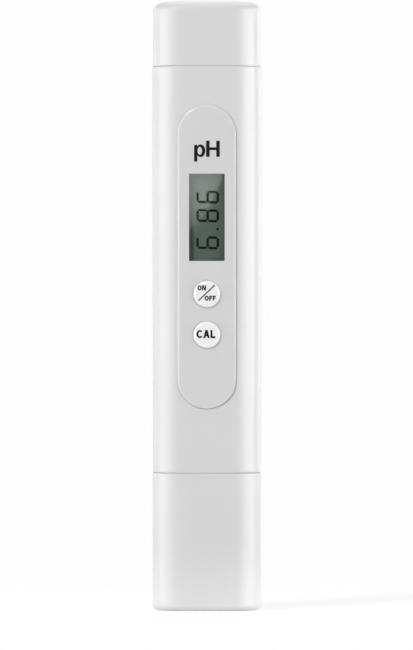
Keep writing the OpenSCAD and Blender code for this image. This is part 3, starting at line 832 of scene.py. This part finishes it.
# ---- storage sponge ---------------------------------------------------------------
def cap_sponge():
    """An open-celled block: soft edges, and pores pressed into its top and sides."""
    rng = np.random.default_rng(11)
    n, z0, z1 = 176, 2.01, 5.97
    eb, et = 1.1, 0.7

    def ring(inset):
        full, s = round_rect(1.92 + inset)
        t = s[-1] * np.arange(n) / n
        return np.column_stack([np.interp(t, s, full[:, 0]), np.interp(t, s, full[:, 1])])

    base = ring(0)
    out = base / np.array([13.1, 7.6])
    rows, normal, soft = [], [], []

    def add(xy, z, side, up, k):
        rows.append(np.column_stack([xy, np.full(n, z)]))
        v = np.column_stack([out * side, np.full(n, up)])
        normal.append(v / np.linalg.norm(v, axis=1)[:, None])
        soft.append(np.full(n, k))

    low = ring(eb)
    for k in (0.25, 0.5, 0.75, 0.92):
        add(low * k, z0, 0.001, -1.0, 0.0)
    for i in range(6):
        a = math.radians(90 * i / 5)
        add(ring(eb * (1 - math.sin(a))), z0 + eb * (1 - math.cos(a)), math.sin(a) + 0.001, -math.cos(a), 0.2 * i / 5)
    for z in np.linspace(z0 + eb, z1 - et, 7)[1:-1]:
        add(base, z, 1.0, 0.0, 1.0)
    for i in range(5):
        a = math.radians(90 * i / 4)
        add(ring(et * (1 - math.cos(a))), z1 - et + et * math.sin(a), math.cos(a) + 0.001, math.sin(a), 1.0)
    high = ring(et)
    for k in np.linspace(0.96, 0.04, 24):
        add(high * k, z1, 0.001, 1.0, 1.0)
    pts, nor, k = np.array(rows), np.array(normal), np.array(soft)
    flat, flat_n = pts.reshape(-1, 3), nor.reshape(-1, 3)
    open_rows = np.flatnonzero(k.reshape(-1) > 0.9)
    depth = np.zeros(len(flat))
    for c in rng.choice(open_rows, 420, replace=False):
        r = rng.uniform(0.38, 0.95)
        d = np.linalg.norm(flat - flat[c], axis=1)
        hit = d < r
        depth[hit] = np.maximum(depth[hit], rng.uniform(0.35, 0.6) * r * (1 - (d[hit] / r) ** 2))
    depth = (depth + rng.uniform(0, 0.05, len(flat))) * k.reshape(-1)
    flat = flat - flat_n * depth[:, None]
    pts = flat.reshape(pts.shape)
    b = Build()
    b.grid([[tuple(p) for p in row] for row in pts], closed=True)
    b.fan([tuple(p) for p in pts[0]], (0, 0, z0))
    b.fan([tuple(p) for p in pts[-1]], (0, 0, z1 - 0.1))
    return b.object("storage_sponge", M["sponge"], sharp=None)


o = cap_sponge()
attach(o, "protective_cap")
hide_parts("cap_sponge")


# ---- button cells -------------------------------------------------------------------
CELL_X, CELL_Z, CELL_Y = 6.1, 158.95, -0.1


def cell_pieces(side):
    """Can, sealing ring and top of one cell; the left one shows its top, the right one its can."""
    name, cx, k = ("left_cell", -CELL_X, 1) if side < 0 else ("right_cell", CELL_X, -1)
    steel = M["cell_left" if side < 0 else "cell_right"]
    y = lambda v: k * (v - CELL_Y)            # along the axis from the middle of the cell
    can = [(0, 2.57), (4.6, 2.57), (4.75, 2.6), (5.2, 2.6), (5.5, 2.57), (5.68, 2.46), (5.78, 2.25), (5.8, 2.0), (5.8, -1.0), (5.77, -1.3),
           (5.66, -1.52), (5.46, -1.66), (5.25, -1.69), (5.15, -1.62), (5.12, -1.45), (5.12, -1.1), (0, -1.1)]
    ring = [(4.79, -1.3), (5.10, -1.3), (5.10, -1.84), (5.04, -1.92), (4.95, -1.95), (4.86, -1.92), (4.79, -1.84), (4.79, -1.3)]
    top = [(0, -1.12), (4.77, -1.12), (4.77, -2.2), (4.73, -2.45), (4.62, -2.64), (4.42, -2.75), (4.15, -2.78), (3.95, -2.74), (3.8, -2.70),
           (3.6, -2.74), (3.3, -2.79), (2.2, -2.80), (0, -2.80)]
    for part, prof, mat in (("can", can, steel), ("ring", ring, M["gasket"]), ("top", top, steel)):
        b = Build()
        lathe(b, [(r, y(v)) for r, v in prof], (cx, CELL_Y, CELL_Z), "y", 80)
        if part == "can":
            # a plus sign pressed proud of the flat of the can
            px, pz, L, w = cx, CELL_Z + 3.2, 0.62, 0.14
            loop = [(px - w, pz - L), (px + w, pz - L), (px + w, pz - w), (px + L, pz - w), (px + L, pz + w), (px + w, pz + w),
                    (px + w, pz + L), (px - w, pz + L), (px - w, pz + w), (px - L, pz + w), (px - L, pz - w), (px - w, pz - w)]
            f, q = CELL_Y + y(2.6), CELL_Y + y(2.5)
            raised(b, [loop], lambda x, z: f, lambda x, z: q)
        o = b.object(name + "_" + part, mat, sharp=35, weld=1e-3)
        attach(o, "pen")
    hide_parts(name)


# ==== legends and display ======================================================
def ellipse(cx, cz, rx, rz, a0=0, a1=360, n=40):
    full = abs(a1 - a0) >= 360
    m = n if full else n + 1
    return [(cx + rx * math.cos(math.radians(a0 + (a1 - a0) * i / n)), cz + rz * math.sin(math.radians(a0 + (a1 - a0) * i / n))) for i in range(m)]


def glyph(ch, h, s):
    """Loops of a plain block letter of height h and stroke s: [outline, holes...], and its width."""
    if ch == "O":
        w = 0.80 * h
        return [ellipse(w / 2, h / 2, w / 2, h / 2), ellipse(w / 2, h / 2, w / 2 - s, h / 2 - s * 0.9)], w
    if ch == "C":
        w = 0.82 * h
        o = ellipse(w / 2, h / 2, w / 2, h / 2, 40, 320, 36)
        i = ellipse(w / 2, h / 2, w / 2 - s, h / 2 - s * 0.9, 316, 44, 36)
        return [o + i], w * 0.92
    if ch == "N":
        w = 0.76 * h
        d = s * 1.15
        return [[(0, 0), (s, 0), (s, h - d * 1.35), (w - d, 0), (w, 0), (w, h), (w - s, h), (w - s, d * 1.35), (d, h), (0, h)]], w
    if ch == "F":
        w = 0.60 * h
        return [[(0, 0), (s, 0), (s, h * 0.41), (w * 0.9, h * 0.41), (w * 0.9, h * 0.41 + s * 0.9), (s, h * 0.41 + s * 0.9), (s, h - s * 0.95), (w, h - s * 0.95), (w, h), (0, h)]], w
    if ch == "L":
        w = 0.60 * h
        return [[(0, 0), (w, 0), (w, s * 0.95), (s, s * 0.95), (s, h), (0, h)]], w
    if ch == "A":
        w = 0.80 * h
        c, t = w / 2, s * 0.58
        m = 0.24 * h
        k = (c - t) / h                        # slope of the outside of a leg
        foot = s * 1.08
        x_in = lambda z: foot + k * z          # inside of the left leg
        apex = (c - foot) / k
        top = min(apex, h * 0.80)
        outer = [(0, 0), (foot, 0), (x_in(m), m), (w - x_in(m), m), (w - foot, 0), (w, 0), (c + t, h), (c - t, h)]
        z2 = m + s * 0.85
        hole = [(x_in(z2), z2), (w - x_in(z2), z2), (c, top)]
        return [outer, hole], w
    raise ValueError(ch)


def place(loops, x, z):
    return [[(px + x, pz + z) for px, pz in lp] for lp in loops]


def raised(build, loops, front, back):
    """A thin closed plate; front(x, z) and back(x, z) give the depth of its two faces."""
    for fn in (front, back):
        build.fill([[(x, fn(x, z), z) for x, z in lp] for lp in loops])
    for lp in loops:
        build.grid([[(x, front(x, z), z) for x, z in lp], [(x, back(x, z), z) for x, z in lp]], closed=True)


def word(text, x0, x1, z0, h, s, gap):
    """Letters spread from x0 to x1."""
    gl = [glyph(c, h, s) for c in text]
    total = sum(w for _, w in gl) + gap * (len(gl) - 1)
    k = (x1 - x0) / total
    out, x = [], x0
    for loops, w in gl:
        out.append([[(px * k + x, pz + z0) for px, pz in lp] for lp in loops])
        x += (w + gap) * k
    return out


cell_pieces(-1)
cell_pieces(1)


# "pH" on the panel
def panel_legend():
    b = Build()
    front = lambda x, z: Y_FACE - 0.02
    back = lambda x, z: Y_FACE + 0.05
    H = [(-0.22, 124.93), (0.76, 124.93), (0.76, 126.80), (2.57, 126.80), (2.57, 124.93), (3.55, 124.93),
         (3.55, 129.38), (2.57, 129.38), (2.57, 127.56), (0.76, 127.56), (0.76, 129.38), (-0.22, 129.38)]
    raised(b, [H], front, back)
    cx, cz, rx, rz = -1.72, 126.60, 1.31, 1.74
    sx0, sx1, zb, zt = -3.52, -2.62, 123.62, 128.22
    a = math.degrees(math.acos((sx1 - cx) / rx))
    bowl = ellipse(cx, cz, rx, rz, -a, a, 40)
    p = [(sx0, zb), (sx1, zb)] + bowl + [(sx1, zt), (sx0, zt)]
    counter = ellipse(-1.95, 126.60, 0.61, 1.08, 0, 360, 32)
    raised(b, [p, counter], front, back)
    return b.object("panel_legend", M["ink"], sharp=30, weld=1e-4)


o = panel_legend()
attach(o, "pen")

# buttons: shallow domed caps with soft edges
B_TOP = Y_FACE - 1.1
DOME = 38.0


def dome_y(x, z, zc, lift=0.0):
    r2 = x * x + (z - zc) ** 2
    return B_TOP + r2 / (2 * DOME) - lift


def button(name, zc):
    b = Build()
    r, e = 3.75, 0.95
    prof = [(0.0, B_TOP)]
    for q in (0.6, 1.2, 1.8, 2.4, 2.8):
        prof.append((q, B_TOP + q * q / (2 * DOME)))
    y0 = B_TOP + (r - e) ** 2 / (2 * DOME)
    for i in range(9):
        a = math.radians(4.5 + 85.5 * i / 8)
        prof.append((r - e + e * math.sin(a), y0 + e * (1 - math.cos(a))))
    prof += [(r, -9.6), (r, -8.2), (r, -7.5), (r + 0.2, -7.45), (4.6, -7.45), (4.65, -7.4), (4.65, -6.95), (4.6, -6.9), (2.0, -6.9), (1.55, -6.9), (1.5, -6.8), (1.5, -6.6), (0.0, -6.6)]
    lathe(b, prof, (0, 0, zc), "y", 72)
    return b.object(name, M["button"], sharp=45)


for name, zc, body in (("power_button_cap", Z_POWER, "power_button"), ("cal_button_cap", Z_CAL, "cal_button")):
    o = button(name, zc)
    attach(o, body)
    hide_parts(body)


def power_legend():
    b = Build()
    f = lambda x, z: dome_y(x, z, Z_POWER, 0.03)
    k = lambda x, z: dome_y(x, z, Z_POWER, -0.05)
    for loops in word("ON", -2.60, -0.25, 88.18, 1.46, 0.37, 0.14):
        raised(b, loops, f, k)
    for loops in word("OFF", -0.60, 2.46, 85.36, 1.40, 0.36, 0.14):
        raised(b, loops, f, k)
    (x0, z0), (x1, z1), w = (-2.28, 85.40), (2.18, 89.66), 0.16
    L = math.hypot(x1 - x0, z1 - z0)
    nx, nz = -(z1 - z0) / L * w, (x1 - x0) / L * w
    pts = [(x0 + (x1 - x0) * i / 6, z0 + (z1 - z0) * i / 6) for i in range(7)]
    raised(b, [[(x - nx, z - nz) for x, z in pts] + [(x + nx, z + nz) for x, z in pts[::-1]]], f, k)
    return b.object("power_legend", M["ink"], sharp=30, weld=1e-4)


def cal_legend():
    b = Build()
    f = lambda x, z: dome_y(x, z, Z_CAL, 0.03)
    k = lambda x, z: dome_y(x, z, Z_CAL, -0.05)
    for loops in word("CAL", -2.86, 2.32, 75.10, 2.22, 0.52, 0.20):
        raised(b, loops, f, k)
    return b.object("cal_legend", M["ink"], sharp=30, weld=1e-4)


for o, body in ((power_legend(), "power_button"), (cal_legend(), "cal_button")):
    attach(o, body)


# digits of the display, tops towards -X, read upwards
SEGS = {"0": "abcdef", "1": "bc", "2": "abged", "3": "abgcd", "4": "fgbc", "5": "afgcd", "6": "afgedc", "7": "abc", "8": "abcdefg", "9": "abcdfg"}


def segment_loops(ch, zc):
    """Segments of one digit in panel X and Z. Along the digit: u rightwards, v upwards."""
    hw, hh, t, g = 1.45, 2.78, 0.345, 0.06
    out = []

    def bar(u0, v0, u1, v1):
        L = math.hypot(u1 - u0, v1 - v0)
        dx, dy = (u1 - u0) / L, (v1 - v0) / L
        a0, a1 = g * 1.4, L - g * 1.4
        pts = [(a0, 0), (a0 + t * 0.85, -t), (a1 - t * 0.85, -t), (a1, 0), (a1 - t * 0.85, t), (a0 + t * 0.85, t)]
        return [(u0 + dx * a - dy * c, v0 + dy * a + dx * c) for a, c in pts]

    ends = {"a": (-hw, hh, hw, hh), "g": (-hw, 0, hw, 0), "d": (-hw, -hh, hw, -hh),
            "b": (hw, 0, hw, hh), "c": (hw, -hh, hw, 0), "f": (-hw, 0, -hw, hh), "e": (-hw, -hh, -hw, 0)}
    for s in SEGS[ch]:
        lp = []
        for u, v in bar(*ends[s]):
            u += v * 0.035
            lp.append((0.22 - v, zc + u))
        out.append(lp)
    return out


def display_digits():
    b = Build()
    f = lambda x, z: -8.035
    k = lambda x, z: -8.005
    for ch, zc in (("6", 101.36), ("8", 108.80), ("6", 113.95)):
        for lp in segment_loops(ch, zc):
            raised(b, [lp], f, k)
    raised(b, [ellipse(2.93, 105.08, 0.37, 0.37, 0, 360, 20)], f, k)
    return b.object("display_digits", M["segment"], sharp=30, weld=1e-4)


o = display_digits()
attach(o, "pen")


# ==== stage, light, camera =====================================================
def area(name, loc, target, sx, sy, radiance, colour=(1, 1, 1), spread=180):
    d = bpy.data.lights.new(name, "AREA")
    d.shape = "RECTANGLE"
    d.size, d.size_y = sx, sy
    d.energy = radiance * math.pi * sx * sy
    d.color = colour
    d.spread = math.radians(spread)
    o = bpy.data.objects.new(name, d)
    bpy.context.scene.collection.objects.link(o)
    o.location = loc
    o.visible_camera = False
    from mathutils import Vector
    v = Vector(target) - Vector(loc)
    o.rotation_euler = v.to_track_quat("-Z", "Y").to_euler()
    return o


def polar(az, el, dist, z=0.08):
    """A place seen from the pen at azimuth az (0 towards the camera, positive to the right)."""
    a, e = math.radians(az), math.radians(el)
    return (dist * math.sin(a) * math.cos(e), -dist * math.cos(a) * math.cos(e), z + dist * math.sin(e))


RAD = {"side_left": 3.95, "side_right": 5.75, "low_left": 0.85, "low_right": 0.65, "wing_left": 0.75, "wing_right": 0.70, "key": 38.0, "top": 2.1, "top_back": 1.6, "back_left": 1.0, "back_right": 1.6, "world": 0.02, "gloss": 0.4}
C = (0, 0, 0.07)
area("side_left", polar(-72, 0, 1.0, 0.02), C, 1.10, 0.65, RAD["side_left"])
area("side_right", polar(72, 0, 1.0, 0.02), C, 1.10, 0.65, RAD["side_right"])
area("low_left", polar(-80, 0, 0.10, 0.015), (0, 0, 0.015), 0.05, 0.05, RAD["low_left"])
area("low_right", polar(80, 0, 0.10, 0.015), (0, 0, 0.015), 0.05, 0.05, RAD["low_right"])
area("wing_left", polar(-32, 0, 1.2, 0.02), C, 0.55, 0.65, RAD["wing_left"])
area("wing_right", polar(32, 0, 1.2, 0.02), C, 0.55, 0.65, RAD["wing_right"])
area("key", polar(-36, 38, 2.2), C, 0.40, 0.40, RAD["key"])
area("top", (0.15, -0.35, 2.0), C, 1.3, 1.3, RAD["top"])
area("top_back", (0.1, 1.3, 1.6), C, 1.4, 1.4, RAD["top_back"])
area("back_left", polar(-135, 5, 1.1), C, 0.9, 0.8, RAD["back_left"])
area("back_right", polar(135, 5, 1.1), C, 0.9, 0.8, RAD["back_right"])

world = bpy.data.worlds.new("studio")
bpy.context.scene.world = world
world.use_nodes = True
wt = world.node_tree
wt.nodes.clear()
wo = wt.nodes.new("ShaderNodeOutputWorld")
lp_ = wt.nodes.new("ShaderNodeLightPath")
bg_cam = wt.nodes.new("ShaderNodeBackground")
bg_gloss = wt.nodes.new("ShaderNodeBackground")
bg_soft = wt.nodes.new("ShaderNodeBackground")
bg_cam.inputs[0].default_value = (0.99, 0.99, 0.99, 1)
bg_soft.inputs[0].default_value = (RAD["world"], RAD["world"], RAD["world"], 1)
# reflections: white sweep behind, dark room in front
w_tc = wt.nodes.new("ShaderNodeTexCoord")
w_s = wt.nodes.new("ShaderNodeSeparateXYZ")
w_m = wt.nodes.new("ShaderNodeMapRange")
w_m.inputs["From Min"].default_value = -0.75
w_m.inputs["From Max"].default_value = 0.35
w_m.inputs["To Min"].default_value = 0.03 * RAD["gloss"]
w_m.inputs["To Max"].default_value = 1.0 * RAD["gloss"]
wt.links.new(w_tc.outputs["Generated"], w_s.inputs[0])
wt.links.new(w_s.outputs[1], w_m.inputs["Value"])
wt.links.new(w_m.outputs["Result"], bg_gloss.inputs[1])
bg_gloss.inputs[0].default_value = (1, 1, 1, 1)
m1 = wt.nodes.new("ShaderNodeMixShader")
m2 = wt.nodes.new("ShaderNodeMixShader")
wt.links.new(lp_.outputs["Is Glossy Ray"], m1.inputs[0])
wt.links.new(bg_soft.outputs[0], m1.inputs[1])
wt.links.new(bg_gloss.outputs[0], m1.inputs[2])
wt.links.new(lp_.outputs["Is Camera Ray"], m2.inputs[0])
wt.links.new(m1.outputs[0], m2.inputs[1])
wt.links.new(bg_cam.outputs[0], m2.inputs[2])
wt.links.new(m2.outputs[0], wo.inputs[0])


def floor():
    m = bpy.data.materials.new("studio_floor")
    m.use_nodes = True
    nt = m.node_tree
    nt.nodes.clear()
    out = nt.nodes.new("ShaderNodeOutputMaterial")
    lp = nt.nodes.new("ShaderNodeLightPath")
    dif = nt.nodes.new("ShaderNodeBsdfDiffuse")
    dif.inputs[0].default_value = (0.55, 0.55, 0.55, 1)
    em = nt.nodes.new("ShaderNodeEmission")
    em.inputs[0].default_value = (1, 1, 1, 1)
    em.inputs[1].default_value = 0.52
    add = nt.nodes.new("ShaderNodeAddShader")
    soft = nt.nodes.new("ShaderNodeBsdfDiffuse")
    soft.inputs[0].default_value = (0.8, 0.8, 0.8, 1)
    mx = nt.nodes.new("ShaderNodeMixShader")
    nt.links.new(dif.outputs[0], add.inputs[0])
    nt.links.new(em.outputs[0], add.inputs[1])
    far = nt.nodes.new("ShaderNodeEmission")
    far.inputs[0].default_value = (0.99, 0.99, 0.99, 1)
    tc = nt.nodes.new("ShaderNodeTexCoord")
    ln = nt.nodes.new("ShaderNodeVectorMath")
    ln.operation = "LENGTH"
    nt.links.new(tc.outputs["Object"], ln.inputs[0])
    blend = nt.nodes.new("ShaderNodeMixShader")
    nt.links.new(span(nt, ln.outputs["Value"], 0.0, 1.0, 0.12, 0.5), blend.inputs[0])
    nt.links.new(add.outputs[0], blend.inputs[1])
    nt.links.new(far.outputs[0], blend.inputs[2])
    nt.links.new(lp.outputs["Is Camera Ray"], mx.inputs[0])
    # a see-through floor: the protective cap is pulled down below it, and stays lit and in sight there
    clear = nt.nodes.new("ShaderNodeBsdfTransparent")
    seen, lit = nt.nodes.new("ShaderNodeMixShader"), nt.nodes.new("ShaderNodeMixShader")
    seen.inputs[0].default_value = 0.5
    nt.links.new(blend.outputs[0], seen.inputs[1])
    nt.links.new(clear.outputs[0], seen.inputs[2])
    near = span(nt, ln.outputs["Value"], 1.0, 0.0, 0.06, 0.07)
    nt.links.new(math_node(nt, "MULTIPLY", lp.outputs["Is Shadow Ray"], near), lit.inputs[0])
    nt.links.new(soft.outputs[0], lit.inputs[1])
    nt.links.new(clear.outputs[0], lit.inputs[2])
    nt.links.new(lit.outputs[0], mx.inputs[1])
    nt.links.new(seen.outputs[0], mx.inputs[2])
    nt.links.new(mx.outputs[0], out.inputs[0])
    me = bpy.data.meshes.new("studio_floor")
    s = 6.0
    me.from_pydata([(-s, -s, 0), (s, -s, 0), (s, s, 0), (-s, s, 0)], [], [(0, 1, 2, 3)])
    o = bpy.data.objects.new("studio_floor", me)
    me.materials.append(m)
    bpy.context.scene.collection.objects.link(o)
    return o


floor()


def reflector_card():
    """A small lit card beside the lens, seen only in the display window."""
    zc = 0.0787
    y = -1.8
    poly = [(-5.4, 121.2), (5.1, 121.2), (2.24, 114.6), (0.58, 111.3), (-1.9, 108.0), (-5.4, 104.4)]
    me = bpy.data.meshes.new("reflector_card")
    me.from_pydata([(2 * x * MM, y, 2 * z * MM - zc) for x, z in poly], [], [tuple(range(len(poly)))])
    m = bpy.data.materials.new("reflector_card")
    m.use_nodes = True
    nt = m.node_tree
    nt.nodes.clear()
    out = nt.nodes.new("ShaderNodeOutputMaterial")
    em = nt.nodes.new("ShaderNodeEmission")
    x, yy, z = axes(nt)
    em.inputs[0].default_value = (0.93, 1.0, 0.93, 1)
    g = span(nt, z, 0.50, 1.42, 0.125, 0.150)
    nt.links.new(g, em.inputs[1])
    nt.links.new(em.outputs[0], out.inputs[0])
    me.materials.append(m)
    o = bpy.data.objects.new("reflector_card", me)
    bpy.context.scene.collection.objects.link(o)
    o.visible_camera = False
    o.visible_diffuse = False
    o.visible_shadow = False
    o.visible_volume_scatter = False
    return o


reflector_card()

cam_data = bpy.data.cameras.new("camera")
cam = bpy.data.objects.new("camera", cam_data)
bpy.context.scene.collection.objects.link(cam)
cam.location = (-0.0001, -1.8, 0.0787)
cam.rotation_euler = (math.radians(90), 0, 0)
cam_data.sensor_width = 36
cam_data.sensor_fit = "AUTO"
cam_data.lens = 360.6
cam_data.clip_end = 50
cam_data.clip_start = 0.01
bpy.context.scene.camera = cam
bpy.context.scene.view_settings.view_transform = "Standard"
bpy.context.scene.view_settings.look = "None"
